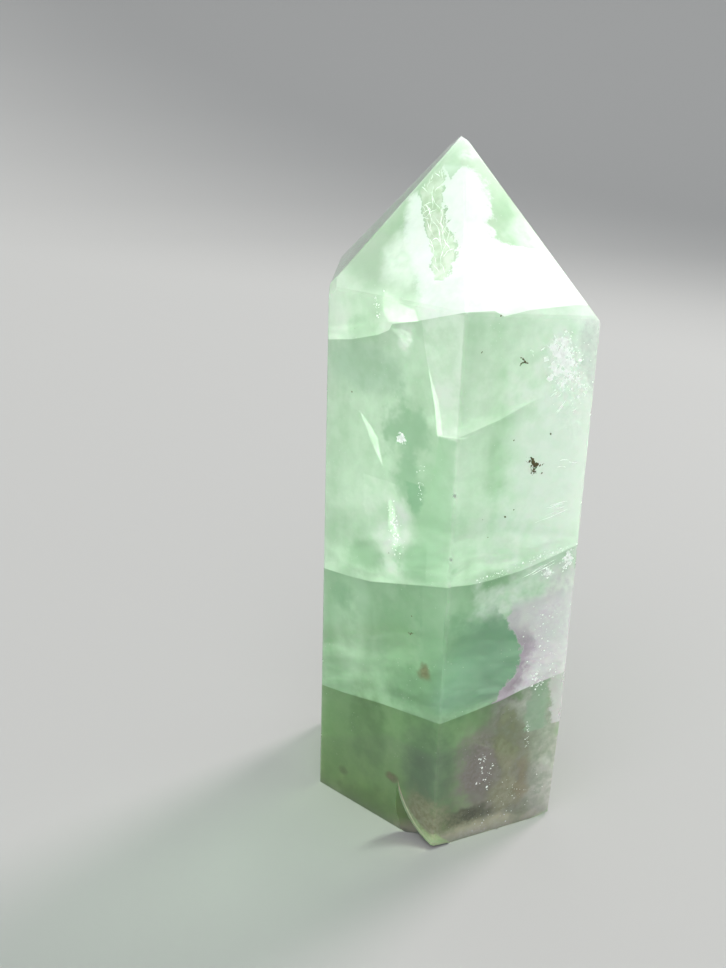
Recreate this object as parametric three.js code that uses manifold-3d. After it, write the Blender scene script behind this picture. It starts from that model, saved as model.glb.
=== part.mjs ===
// Fluorite tower: one piece of clear green fluorite, ground to a six-sided prism with a six-facet point.
// Millimetres, +Z up. The origin is the middle of the flat base, and the front edge of the prism is at -Y.
// A rough block is ground down with flat cuts, as a lapidary does it, and then the chips are broken out.

import * as THREE from "three";
import { mergeVertices } from "three/addons/utils/BufferGeometryUtils.js";
import Module from "manifold-3d";

// Driving dimensions, in millimetres and degrees
const apex = new THREE.Vector3(-1.03, -0.3, 85);
const roughSize = { width: 44, height: 100 };
const wheelSize = 240;

// The side faces in order round the prism. heading: where the face looks, from +X towards +Y.
// reach: its distance from the axis at the base. lean: how far it tips inwards going up.
// tip: the facet above it, with its slope from level. One facet stands off from the apex.
const faces = [
  { name: "frontLeft", heading: 237.7, reach: 14.01, lean: 0.78, tip: { heading: 237.8, slope: 53.4 } },
  { name: "frontRight", heading: 301.35, reach: 15.03, lean: 0.56, tip: { heading: 305.75, slope: 49.6 } },
  { name: "right", heading: 357.6, reach: 16.32, lean: 0.6, tip: { heading: 4.7, slope: 49.7 } },
  { name: "backRight", heading: 59.45, reach: 14.08, lean: 0.74, tip: { heading: 54.2, slope: 53.25 } },
  { name: "backLeft", heading: 120, reach: 15.45, lean: 0.58, tip: { heading: 116, slope: 52.8, off: 1.6 } },
  { name: "left", heading: 183.8, reach: 15.9, lean: 0.46, tip: { heading: 187.25, slope: 48.4 } },
];

// Widths of the narrow flats that ease each kind of edge
const easing = { side: 0.3, ridge: 0.3, shoulder: 0.4, base: 0.3 };

// The blunt end of the point: a small flat that slopes down to the front right
const bluntTip = { heading: 330, slope: 30, depth: 0.42 };

// The rubbed shoulder at the left front, and the lower stretch of the right face, ground away more
const rubbedShoulder = { between: ["left", "frontLeft"], slope: 70, depth: 0.5 };
const lowerRight = { startHeight: 16, inset: 0.45 };

// The corner broken off the base at the right front: how far it reaches along the base edge of
// the front right face, along that of the right face, and up the side edge
const brokenFoot = { alongFrontRight: 3.4, alongRight: 2.6, up: 0.55 };

// The shell-shaped break at the foot of the front left face. It is a round hollow that runs under
// a round lobe left standing beside the front edge. Both are placed on the face, by the distance
// to the left of the front edge and the height above the base.
const hollow = { along: -2.78, height: 4.69, radius: 14, standOff: 10.72, segments: 88 };
const lobe = { along: -2.2, height: 8.5, radius: 8.3, length: 24, segments: 72 };

// The nick in the right front edge, where a crack comes out
const nick = { between: ["frontRight", "right"], height: 15.8, radius: 0.9, bite: 0.25, segments: 14 };

const stoneColour = 0xa9d6b2;

const wasm = await Module();
wasm.setup();

function toSolid(geometry) {
  const bare = geometry.clone();
  bare.deleteAttribute("normal");
  bare.deleteAttribute("uv");
  const merged = mergeVertices(bare, 1e-5);
  const mesh = new wasm.Mesh({
    numProp: 3,
    vertProperties: new Float32Array(merged.attributes.position.array),
    triVerts: new Uint32Array(merged.index.array),
  });
  return new wasm.Manifold(mesh);
}

function toGeometry(solid) {
  const mesh = solid.getMesh();
  const geometry = new THREE.BufferGeometry();
  geometry.setAttribute("position", new THREE.BufferAttribute(mesh.vertProperties, 3));
  geometry.setIndex(new THREE.BufferAttribute(mesh.triVerts, 1));
  geometry.computeVertexNormals();
  return geometry;
}

// Unit vector along a heading, raised from level
function direction(heading, rise) {
  const turn = THREE.MathUtils.degToRad(heading);
  const lift = THREE.MathUtils.degToRad(rise);
  const level = Math.cos(lift);
  return new THREE.Vector3(Math.cos(turn) * level, Math.sin(turn) * level, Math.sin(lift));
}

function planeThrough(normal, point) {
  return new THREE.Plane().setFromNormalAndCoplanarPoint(normal, point);
}

function sidePlane(face) {
  const foot = direction(face.heading, 0).multiplyScalar(face.reach);
  return planeThrough(direction(face.heading, face.lean), foot);
}

function tipPlane({ tip: { heading, slope, off = 0 } }) {
  const normal = direction(heading, 90 - slope);
  return planeThrough(normal, apex.clone().addScaledVector(normal, off));
}

function levelPlane(height) {
  return new THREE.Plane(new THREE.Vector3(0, 0, 1), -height);
}

const sides = faces.map(sidePlane);
const tips = faces.map(tipPlane);
const basePlane = new THREE.Plane(new THREE.Vector3(0, 0, -1), 0);

function faceOf(name) {
  return faces.find((face) => face.name === name);
}

function sideOf(name) {
  return sidePlane(faceOf(name));
}

function tipOf(name) {
  return tipPlane(faceOf(name));
}

// Where three planes meet
function corner(a, b, c) {
  const normals = new THREE.Matrix3().set(
    a.normal.x, a.normal.y, a.normal.z,
    b.normal.x, b.normal.y, b.normal.z,
    c.normal.x, c.normal.y, c.normal.z,
  );
  return new THREE.Vector3(-a.constant, -b.constant, -c.constant).applyMatrix3(normals.invert());
}

// The point of a side edge at a height
function edgePoint(between, height) {
  return corner(sideOf(between[0]), sideOf(between[1]), levelPlane(height));
}

// The level direction straight out from a side edge
function edgeOutward(between) {
  return sideOf(between[0]).normal.clone().add(sideOf(between[1]).normal).setZ(0).normalize();
}

// Takes away all that lies on the outer side of a plane
function grind(solid, plane) {
  const wheel = new THREE.BoxGeometry(wheelSize, wheelSize, wheelSize);
  const turn = new THREE.Quaternion().setFromUnitVectors(new THREE.Vector3(0, 0, 1), plane.normal);
  const middle = plane.coplanarPoint(new THREE.Vector3()).addScaledVector(plane.normal, wheelSize / 2);
  wheel.applyMatrix4(new THREE.Matrix4().compose(middle, turn, new THREE.Vector3(1, 1, 1)));
  return solid.subtract(toSolid(wheel));
}

function roughBlock() {
  const block = new THREE.BoxGeometry(roughSize.width, roughSize.width, roughSize.height);
  block.translate(0, 0, roughSize.height / 2);
  return toSolid(block);
}

// The flat of a given width that takes off the edge between two planes
function easedEdge(first, second, width) {
  const turn = first.normal.angleTo(second.normal);
  const normal = first.normal.clone().add(second.normal);
  const flat = new THREE.Plane(normal, first.constant + second.constant).normalize();
  flat.constant += (width / 2) * Math.tan(turn / 2);
  return flat;
}

function edgeFlats() {
  return faces.flatMap((face, index) => {
    const next = (index + 1) % faces.length;
    return [
      easedEdge(sides[index], sides[next], easing.side),
      easedEdge(tips[index], tips[next], easing.ridge),
      easedEdge(sides[index], tips[index], easing.shoulder),
      easedEdge(sides[index], basePlane, easing.base),
    ];
  });
}

function bluntTipFlat() {
  const normal = direction(bluntTip.heading, 90 - bluntTip.slope);
  return planeThrough(normal, apex.clone().addScaledVector(normal, -bluntTip.depth));
}

function rubbedShoulderFlat() {
  const { between, slope, depth } = rubbedShoulder;
  const top = corner(sideOf(between[0]), sideOf(between[1]), tipOf(between[1]));
  const rise = THREE.MathUtils.degToRad(90 - slope);
  const normal = edgeOutward(between).multiplyScalar(Math.cos(rise)).setZ(Math.sin(rise));
  return planeThrough(normal, top.addScaledVector(normal, -depth));
}

function lowerRightFlat() {
  const face = faceOf("right");
  const foot = face.reach - lowerRight.inset;
  const start = face.reach - lowerRight.startHeight * Math.tan(THREE.MathUtils.degToRad(face.lean));
  const flare = THREE.MathUtils.radToDeg(Math.atan2(start - foot, lowerRight.startHeight));
  return planeThrough(direction(face.heading, -flare), direction(face.heading, 0).multiplyScalar(foot));
}

function brokenFootFlat() {
  const first = sideOf("frontRight");
  const second = lowerRightFlat();
  const foot = corner(first, second, levelPlane(0));
  const alongFirst = new THREE.Vector3(first.normal.y, -first.normal.x, 0);
  const alongSecond = new THREE.Vector3(-second.normal.y, second.normal.x, 0);
  return new THREE.Plane().setFromCoplanarPoints(
    foot.clone().add(alongFirst.setLength(brokenFoot.alongFrontRight)),
    foot.clone().add(alongSecond.setLength(brokenFoot.alongRight)),
    corner(first, second, levelPlane(brokenFoot.up)),
  );
}

// A point on the front left face, to the left of the front edge, and stood off from the face
function onFrontLeft(along, height, standOff) {
  const normal = sideOf("frontLeft").normal;
  const leftwards = new THREE.Vector3(normal.y, -normal.x, 0).normalize();
  return edgePoint(["frontLeft", "frontRight"], 0)
    .addScaledVector(leftwards, along)
    .add(new THREE.Vector3(0, 0, height))
    .addScaledVector(normal, standOff);
}

function shellBreak() {
  const ball = new THREE.SphereGeometry(hollow.radius, hollow.segments, hollow.segments / 2);
  ball.rotateX(Math.PI / 2);
  ball.translate(...onFrontLeft(hollow.along, hollow.height, hollow.standOff));
  const post = new THREE.CylinderGeometry(lobe.radius, lobe.radius, lobe.length, lobe.segments);
  const outward = new THREE.Vector3(0, 1, 0);
  post.applyQuaternion(new THREE.Quaternion().setFromUnitVectors(outward, sideOf("frontLeft").normal));
  post.translate(...onFrontLeft(lobe.along, lobe.height, 0));
  return toSolid(ball).subtract(toSolid(post));
}

function edgeNick() {
  const ball = new THREE.SphereGeometry(nick.radius, nick.segments, nick.segments / 2);
  const centre = edgePoint(nick.between, nick.height);
  centre.addScaledVector(edgeOutward(nick.between), nick.radius - nick.bite);
  ball.translate(...centre);
  return toSolid(ball);
}

function groundTower() {
  const wear = [bluntTipFlat(), rubbedShoulderFlat(), lowerRightFlat(), brokenFootFlat()];
  const cuts = [...sides, ...tips, ...edgeFlats(), ...wear];
  return cuts.reduce(grind, roughBlock()).subtract(shellBreak()).subtract(edgeNick());
}

const stone = new THREE.MeshStandardMaterial({ color: stoneColour, roughness: 0.08, metalness: 0 });
const tower = new THREE.Mesh(toGeometry(groundTower()), stone);
tower.name = "fluorite_tower";

const group = new THREE.Group();
group.add(tower);

export default group;
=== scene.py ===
import math
import random

import bmesh
import bpy
from mathutils import Matrix, Vector, noise


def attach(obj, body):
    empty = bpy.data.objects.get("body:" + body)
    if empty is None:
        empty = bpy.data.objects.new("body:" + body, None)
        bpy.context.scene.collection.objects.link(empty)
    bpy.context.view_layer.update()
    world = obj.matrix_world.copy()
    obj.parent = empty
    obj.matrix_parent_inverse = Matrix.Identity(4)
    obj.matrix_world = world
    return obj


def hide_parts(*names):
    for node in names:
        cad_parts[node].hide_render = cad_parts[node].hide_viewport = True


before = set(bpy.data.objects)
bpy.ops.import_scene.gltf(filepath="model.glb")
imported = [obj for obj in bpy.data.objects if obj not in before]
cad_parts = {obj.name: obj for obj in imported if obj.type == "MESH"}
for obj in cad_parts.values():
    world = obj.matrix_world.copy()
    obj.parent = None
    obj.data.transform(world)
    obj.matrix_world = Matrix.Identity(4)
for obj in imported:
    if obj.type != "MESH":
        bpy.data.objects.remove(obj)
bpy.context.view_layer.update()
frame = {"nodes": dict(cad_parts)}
noise.seed_set(7)  # or else noise_vector takes its seed from the clock
print("frame loaded:", ", ".join(frame["nodes"]))

millimetre = 0.001  # shapes are worked out in millimetres and scaled down when they are finished

# The stone's ground faces in order round the prism. heading: where the face looks, from +X towards
# +Y. reach: its distance from the axis at the base. lean: how far it tips inwards going up.
# tip: the facet of the point above it, as its heading, its slope from level and its distance from
# the apex. easing: the widths of the flats along the edges.
stone = {
    "rough": {"width": 44, "height": 85},
    "apex": Vector((-1.03, -0.3, 85)),
    "faces": {
        "frontLeft": {"heading": 237.7, "reach": 14.01, "lean": 0.78, "tip": (237.8, 53.4, 0)},
        "frontRight": {"heading": 301.35, "reach": 15.03, "lean": 0.56, "tip": (305.75, 49.6, 0)},
        "right": {"heading": 357.6, "reach": 16.32, "lean": 0.6, "tip": (4.7, 49.7, 0)},
        "backRight": {"heading": 59.45, "reach": 14.08, "lean": 0.74, "tip": (54.2, 53.25, 0)},
        "backLeft": {"heading": 120, "reach": 15.45, "lean": 0.58, "tip": (116, 52.8, 1.6)},
        "left": {"heading": 183.8, "reach": 15.9, "lean": 0.46, "tip": (187.25, 48.4, 0)},
    },
    "easing": {"side": 0.3, "ridge": 0.3, "shoulder": 0.4, "base": 0.3},
    "softening": 0.05,  # the last rounding of every edge
    "bluntTip": {"heading": 330, "slope": 30, "depth": 0.42},
    "rubbedShoulder": {"slope": 70, "depth": 0.5},
    "lowerRight": {"startHeight": 16, "inset": 0.45},
    "brokenFoot": {"alongFrontRight": 3.4, "alongRight": 2.6, "up": 0.55},
    # The shell-shaped break beside the foot of the front edge: a round hollow under a round lobe.
    # along: how far to the right of the front edge, so what is less than 0 lies to the left.
    "hollow": {"along": -2.78, "height": 4.69, "radius": 14, "standOff": 10.72, "segments": 180},
    "ripples": {"along": -6, "height": 0, "spacing": 1.5, "depth": 0.035},
    "lobe": {"along": -2.2, "height": 8.5, "radius": 8.3, "length": 24, "segments": 160},
    "nick": {"height": 15.8, "radius": 0.9, "bite": 0.25},
}


def direction(heading, rise):
    turn, lift = math.radians(heading), math.radians(rise)
    level = math.cos(lift)
    return Vector((math.cos(turn) * level, math.sin(turn) * level, math.sin(lift)))


# A plane is a point and a unit normal that looks out of the stone
def sidePlane(name):
    face = stone["faces"][name]
    foot = direction(face["heading"], 0) * face["reach"]
    return foot, direction(face["heading"], face["lean"])


def tipPlane(name):
    heading, slope, off = stone["faces"][name]["tip"]
    normal = direction(heading, 90 - slope)
    return stone["apex"] + normal * off, normal


def facePlanes():
    return [*map(sidePlane, stone["faces"]), *map(tipPlane, stone["faces"])]


def levelPlane(height, up=1):
    return Vector((0, 0, height)), Vector((0, 0, up))


def corner(first, second, third):
    planes = (first, second, third)
    normals = Matrix([normal for point, normal in planes])
    return normals.inverted() @ Vector([normal.dot(point) for point, normal in planes])


# The flat of a given width that takes off the edge between two planes
def easedEdge(first, second, width):
    turn = first[1].angle(second[1])
    normal = (first[1] + second[1]).normalized()
    third = (Vector(), first[1].cross(second[1]).normalized())
    if abs(third[1].z) > 0.2:
        third = levelPlane(0)
    edge = corner(first, second, third)
    return edge - normal * (width / 2) * math.tan(turn / 2), normal


def edgeFlats():
    names = list(stone["faces"])
    easing = stone["easing"]
    flats = []
    for name, following in zip(names, names[1:] + names[:1]):
        flats.append(easedEdge(sidePlane(name), sidePlane(following), easing["side"]))
        flats.append(easedEdge(tipPlane(name), tipPlane(following), easing["ridge"]))
        flats.append(easedEdge(sidePlane(name), tipPlane(name), easing["shoulder"]))
        flats.append(easedEdge(sidePlane(name), levelPlane(0, -1), easing["base"]))
    return flats


def bluntTipFlat():
    blunt = stone["bluntTip"]
    normal = direction(blunt["heading"], 90 - blunt["slope"])
    return stone["apex"] - normal * blunt["depth"], normal


def rubbedShoulderFlat():
    rubbed = stone["rubbedShoulder"]
    top = corner(sidePlane("left"), sidePlane("frontLeft"), tipPlane("frontLeft"))
    outward = sidePlane("left")[1] + sidePlane("frontLeft")[1]
    outward.z = 0
    rise = math.radians(90 - rubbed["slope"])
    normal = outward.normalized() * math.cos(rise) + Vector((0, 0, math.sin(rise)))
    return top - normal * rubbed["depth"], normal


def lowerRightFlat():
    face, lower = stone["faces"]["right"], stone["lowerRight"]
    foot = face["reach"] - lower["inset"]
    start = face["reach"] - lower["startHeight"] * math.tan(math.radians(face["lean"]))
    flare = math.degrees(math.atan2(start - foot, lower["startHeight"]))
    return direction(face["heading"], 0) * foot, direction(face["heading"], -flare)


def brokenFootFlat():
    broken = stone["brokenFoot"]
    first, second = sidePlane("frontRight"), lowerRightFlat()
    foot = corner(first, second, levelPlane(0))
    alongFirst = Vector((first[1].y, -first[1].x, 0)).normalized()
    alongSecond = Vector((-second[1].y, second[1].x, 0)).normalized()
    low = foot + alongFirst * broken["alongFrontRight"]
    far = foot + alongSecond * broken["alongRight"]
    high = corner(first, second, levelPlane(broken["up"]))
    return high, (far - low).cross(high - low).normalized()


# Cuts off what lies beyond a plane, and gives the rim of the cut
def cutAway(bm, point, normal):
    geometry = bm.verts[:] + bm.edges[:] + bm.faces[:]
    cut = bmesh.ops.bisect_plane(bm, geom=geometry, plane_co=point, plane_no=normal,
                                 dist=1e-5, clear_outer=True)
    return [item for item in cut["geom_cut"] if isinstance(item, bmesh.types.BMEdge)]


def grind(bm, plane):
    rim = cutAway(bm, *plane)
    if rim:
        bmesh.ops.edgeloop_fill(bm, edges=rim)


def finishPiece(bm, name, materials, smooth=False):
    bmesh.ops.scale(bm, vec=(millimetre,) * 3, verts=bm.verts)
    mesh = bpy.data.meshes.new(name)
    bm.to_mesh(mesh)
    bm.free()
    for material in materials:
        mesh.materials.append(material)
    mesh.polygons.foreach_set("use_smooth", [smooth] * len(mesh.polygons))
    piece = bpy.data.objects.new(name, mesh)
    bpy.context.scene.collection.objects.link(piece)
    return piece


# The point of a side edge at a height, and the level direction straight out from it
def edgePoint(first, second, height):
    outward = sidePlane(first)[1] + sidePlane(second)[1]
    outward.z = 0
    return corner(sidePlane(first), sidePlane(second), levelPlane(height)), outward.normalized()


# A point on the front left face, to the left of the front edge, and stood off from the face
def onFrontLeft(along, height, standOff=0):
    normal = sidePlane("frontLeft")[1]
    leftwards = Vector((normal.y, -normal.x, 0)).normalized()
    foot = edgePoint("frontLeft", "frontRight", 0)[0]
    return foot + leftwards * along + Vector((0, 0, height)) + normal * standOff


# Takes the cutter's shape out of a piece, for good, and throws the cutter away
def carve(piece, cutter):
    cut = piece.modifiers.new("carve", "BOOLEAN")
    cut.operation = "DIFFERENCE"
    cut.solver = "EXACT"
    cut.material_mode = "TRANSFER"
    cut.object = cutter
    graph = bpy.context.evaluated_depsgraph_get()
    carved = bpy.data.meshes.new_from_object(piece.evaluated_get(graph))
    piece.modifiers.clear()
    whole, piece.data = piece.data, carved
    carved.name = piece.name
    bpy.data.objects.remove(cutter)
    bpy.data.meshes.remove(whole)


def shellBreak(material):
    hollow, lobe, ripples = stone["hollow"], stone["lobe"], stone["ripples"]
    ball = bmesh.new()
    bmesh.ops.create_uvsphere(ball, u_segments=hollow["segments"], v_segments=hollow["segments"] // 2,
                              radius=hollow["radius"])
    centre = onFrontLeft(hollow["along"], hollow["height"], hollow["standOff"])
    bmesh.ops.translate(ball, vec=centre, verts=ball.verts)
    struck = onFrontLeft(ripples["along"], ripples["height"])
    for vert in ball.verts:
        wave = math.sin((vert.co - struck).length / ripples["spacing"] * math.tau)
        vert.co += (vert.co - centre).normalized() * wave * ripples["depth"]
    post = bmesh.new()
    turn = Vector((0, 0, 1)).rotation_difference(sidePlane("frontLeft")[1]).to_matrix().to_4x4()
    place = Matrix.Translation(onFrontLeft(lobe["along"], lobe["height"])) @ turn
    bmesh.ops.create_cone(post, cap_ends=True, segments=lobe["segments"], radius1=lobe["radius"],
                          radius2=lobe["radius"], depth=lobe["length"], matrix=place)
    cutter = finishPiece(ball, "shellBreak", [material])
    carve(cutter, finishPiece(post, "shellLobe", [material]))
    return cutter


# Small bruises where the edges were knocked: which edge, how many, and between which heights.
# Those of the base's edge lie under a face, and keep clear of its ends by the margin.
bruises = {
    "radius": (0.35, 0.8),
    "bite": (0.05, 0.16),
    "margin": 0.1,
    "lumps": {"closeness": 2.3, "depth": 0.22},
    "edges": [("frontRight", "right", 6, (2, 60)), ("left", "frontLeft", 4, (4, 58)),
              ("right", "backRight", 5, (3, 60)), ("backLeft", "left", 5, (3, 60)),
              ("backRight", "backLeft", 4, (3, 62)), ("frontLeft", "frontRight", 2, (24, 60))],
    "footFaces": [("frontRight", 7), ("right", 4), ("backLeft", 5), ("left", 3)],
}


def edgeChips(material):
    draw = random.Random(5)
    bm = bmesh.new()
    nick = stone["nick"]
    spots = [(*edgePoint("frontRight", "right", nick["height"]), nick["radius"], nick["bite"])]
    for first, second, count, (low, high) in bruises["edges"]:
        for step in range(count):
            height = low + (high - low) * (step + draw.random()) / count
            radius, bite = draw.uniform(*bruises["radius"]), draw.uniform(*bruises["bite"])
            spots.append((*edgePoint(first, second, height), radius, bite))
    names = list(stone["faces"])
    for name, count in bruises["footFaces"]:
        before = names[names.index(name) - 1]
        after = names[(names.index(name) + 1) % len(names)]
        start, end = edgePoint(before, name, 0)[0], edgePoint(name, after, 0)[0]
        for step in range(count):
            share = bruises["margin"] + (1 - 2 * bruises["margin"]) * (step + draw.random()) / count
            outward = (sidePlane(name)[1] + Vector((0, 0, -1))).normalized()
            radius, bite = draw.uniform(*bruises["radius"]), draw.uniform(*bruises["bite"])
            spots.append((start.lerp(end, share), outward, radius, bite))
    for place, outward, radius, bite in spots:
        centre = place + outward * (radius - bite)
        made = bmesh.ops.create_icosphere(bm, subdivisions=3, radius=radius,
                                          matrix=Matrix.Translation(centre))
        for vert in made["verts"]:
            lump = noise.noise(vert.co * bruises["lumps"]["closeness"])
            vert.co += (vert.co - centre) * lump * bruises["lumps"]["depth"]
    return finishPiece(bm, "edgeChips", [material])


def groundTower(materials):
    bm = bmesh.new()
    width, height = stone["rough"]["width"], stone["rough"]["height"]
    bmesh.ops.create_cube(bm, size=1)
    bmesh.ops.scale(bm, vec=(width, width, height), verts=bm.verts)
    bmesh.ops.translate(bm, vec=(0, 0, height / 2), verts=bm.verts)
    for plane in [*facePlanes(), *edgeFlats(), bluntTipFlat(), rubbedShoulderFlat(), lowerRightFlat(),
                  brokenFootFlat()]:
        grind(bm, plane)
    bmesh.ops.remove_doubles(bm, verts=bm.verts, dist=0.002)
    bmesh.ops.recalc_face_normals(bm, faces=bm.faces)
    bmesh.ops.bevel(bm, geom=bm.edges[:], offset=stone["softening"], segments=2, profile=0.5,
                    affect="EDGES", material=-1, clamp_overlap=True)
    tower = finishPiece(bm, "stone", materials)
    carve(tower, shellBreak(materials[1]))
    carve(tower, edgeChips(materials[1]))
    for face in tower.data.polygons:
        face.use_smooth = face.material_index == 1
    return tower


def addNode(tree, kind, **settings):
    made = tree.nodes.new(kind)
    for name, value in settings.items():
        setattr(made, name, value)
    return made


# Puts a value on a socket, or a link where the value is another node's output
def feed(tree, value, socket):
    if isinstance(value, bpy.types.NodeSocket):
        tree.links.new(value, socket)
    else:
        socket.default_value = value


# Feeds a node's sockets, by their names or numbers, and gives its outputs
def fill(tree, made, values):
    for name, value in values.items():
        feed(tree, value, made.inputs[name])
    return made.outputs


def maths(tree, operation, *values, clamp=False):
    made = addNode(tree, "ShaderNodeMath", operation=operation, use_clamp=clamp)
    return fill(tree, made, dict(enumerate(values)))[0]


def vectors(tree, operation, *values):
    made = addNode(tree, "ShaderNodeVectorMath", operation=operation)
    result = "Value" if operation in ("DOT_PRODUCT", "LENGTH") else "Vector"
    return fill(tree, made, dict(enumerate(values)))[result]


def mixColours(tree, factor, first, second, blend="MIX"):
    made = addNode(tree, "ShaderNodeMix", data_type="RGBA", blend_type=blend)
    return fill(tree, made, {0: factor, 6: first, 7: second})[2]


def mixShaders(tree, factor, first, second):
    return fill(tree, addNode(tree, "ShaderNodeMixShader"), {0: factor, 1: first, 2: second})[0]


# Goes smoothly from 0 at start to top at end, or the other way round where start is the larger
def easeBetween(tree, value, start, end, top=1):
    made = addNode(tree, "ShaderNodeMapRange", interpolation_type="SMOOTHSTEP")
    ends = (0, top) if start < end else (top, 0)
    return fill(tree, made, {"Value": value, "From Min": min(start, end), "From Max": max(start, end),
                             "To Min": ends[0], "To Max": ends[1]})["Result"]


def cloudAt(tree, point, grain, detail=3, roughness=0.55, distortion=0):
    return fill(tree, addNode(tree, "ShaderNodeTexNoise"), {
        "Vector": point, "Scale": 1 / grain, "Detail": detail, "Roughness": roughness,
        "Distortion": distortion})["Fac"]


# The point on the stone, in millimetres
def stonePoint(tree):
    place = addNode(tree, "ShaderNodeTexCoord")
    return vectors(tree, "MULTIPLY", place.outputs["Object"], (1 / millimetre,) * 3)


def newGroup(name, inputs, outputs):
    tree = bpy.data.node_groups.new(name, "ShaderNodeTree")
    for label, kind in inputs:
        tree.interface.new_socket(name=label, in_out="INPUT", socket_type=kind)
    for label, kind in outputs:
        tree.interface.new_socket(name=label, in_out="OUTPUT", socket_type=kind)
    return tree, addNode(tree, "NodeGroupInput").outputs, addNode(tree, "NodeGroupOutput").inputs


def useGroup(tree, group, values):
    return fill(tree, addNode(tree, "ShaderNodeGroup", node_tree=group), values)


def splitPoint(tree, point):
    return fill(tree, addNode(tree, "ShaderNodeSeparateXYZ"), {0: point})


def newMaterial(name):
    material = bpy.data.materials.new(name)
    material.use_nodes = True
    return material, material.node_tree, material.node_tree.nodes["Principled BSDF"]


# Cleavage cracks. trace: where each comes out on the two front faces, as x and height. fall: how far
# it drops for each millimetre behind those faces. All run right through the stone but the wedge's,
# which lies from one x to another and reaches only so deep. side: where the foot of its steep left
# side is, and how far that leans for each millimetre up. fade: over which x its tones fade.
cracks = {
    "footCrack": {
        "trace": [(-17, 15.6), (-12, 16.4), (-6.5, 17.6), (0.9, 18.8), (3.3, 19.2), (8, 20.1),
                  (10.4, 20.9), (17, 22.4)],
        "fall": 0.05,
    },
    "lowerCrack": {
        "trace": [(-17, 32.9), (-11.8, 33.4), (-8.7, 33.9), (-2.5, 36), (1.2, 37.2), (3.3, 37),
                  (5.6, 37.1), (9, 37.6), (11.9, 38.4), (17, 40.2)],
        "fall": 0.1,
    },
    "wedgeCrack": {
        "trace": [(-17, 54), (-1.3, 54.6), (1.3, 55.2), (5.3, 56.6), (8.1, 58), (13.8, 60.2),
                  (17, 61)],
        "fall": 0.08, "from": -1.3, "to": 8.5, "reach": 11,
        "side": {"height": 54.6, "lean": 0.39}, "fade": {"left": (-1.45, -1.15), "right": (12, 7)},
    },
    "shoulderCrack": {
        "trace": [(-17, 62.1), (-14.8, 62.5), (-12, 63.1), (-8.7, 64.3), (-7.4, 65.1), (-7.1, 65.8),
                  (-4.5, 66.6), (-1.8, 67.6), (1, 68.6), (3.9, 68.5), (4.9, 67.9), (7.5, 68.3),
                  (12.4, 68.4), (17, 68)],
        "fall": 0.1,
    },
}

widthSpan, heightSpan = (-17, 17), (0, 100)  # what the lines below can reach, in x and height


def share(value, span):
    return (value - span[0]) / (span[1] - span[0])


def shareOf(tree, value, span):
    length = span[1] - span[0]
    return maths(tree, "MULTIPLY_ADD", value, 1 / length, -span[0] / length)


# Where a line through points lies at a value
def lineAt(points, value):
    places = sorted(points)
    for (low, first), (high, second) in zip(places, places[1:]):
        if value <= high:
            return first + (second - first) * max(0, value - low) / (high - low)
    return places[-1][1]


# The same as nodes, as a share of the second span. The spans are those of the line's two axes.
def lineShare(tree, value, points, valueSpan, resultSpan):
    curve = addNode(tree, "ShaderNodeFloatCurve")
    line = curve.mapping.curves[0]
    places = [(share(first, valueSpan), share(second, resultSpan)) for first, second in sorted(points)]
    for place in places:
        if 0 < place[0] < 1:
            line.points.new(*place)
    line.points[0].location = (0, places[0][1])
    line.points[-1].location = (1, places[-1][1])
    for point in line.points:
        point.handle_type = "VECTOR"
    curve.mapping.update()
    return fill(tree, curve, {"Value": shareOf(tree, value, valueSpan)})["Value"]


def alongLine(tree, value, points, valueSpan, resultSpan):
    reached = lineShare(tree, value, points, valueSpan, resultSpan)
    return maths(tree, "MULTIPLY_ADD", reached, resultSpan[1] - resultSpan[0], resultSpan[0])


# The stone's bands of colour from the foot up. Each lies over the crack that it names, and goes
# from its low tone to its high tone between two heights. start: where it begins on the far faces,
# which have no cracks in their tones. All tones are linear.
bands = {
    "foot": {"over": None, "start": 0, "heights": (0, 17),
             "low": (0.22, 0.38, 0.13), "high": (0.31, 0.5, 0.25)},
    "lower": {"over": "footCrack", "start": 18.5, "heights": (19, 36),
              "low": (0.37, 0.58, 0.37), "high": (0.45, 0.65, 0.45)},
    "middle": {"over": "lowerCrack", "start": 36.5, "heights": (37, 62),
               "low": (0.66, 0.82, 0.65), "high": (0.66, 0.8, 0.65)},
    "point": {"over": "shoulderCrack", "start": 66.5, "heights": (66, 72),
              "low": (0.78, 0.92, 0.76), "high": (0.5, 0.6, 0.47)},
}

# The light and shade painted at each crack: a painted shadow just below it, over so many millimetres,
# and a painted glow above it, where the crack reflects the lamp
crackLightAndShade = {
    "footCrack": {"paintedShade": (0.2, 2.5), "glow": (0.04, 4)},
    "lowerCrack": {"paintedShade": (0.16, 3), "glow": (0.1, 4)},
    "wedgeCrack": {"paintedShade": (0.1, 2), "glow": (0.25, 7)},
    "shoulderCrack": {"paintedShade": (0.24, 4), "glow": (0.2, 4)},
}
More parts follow.
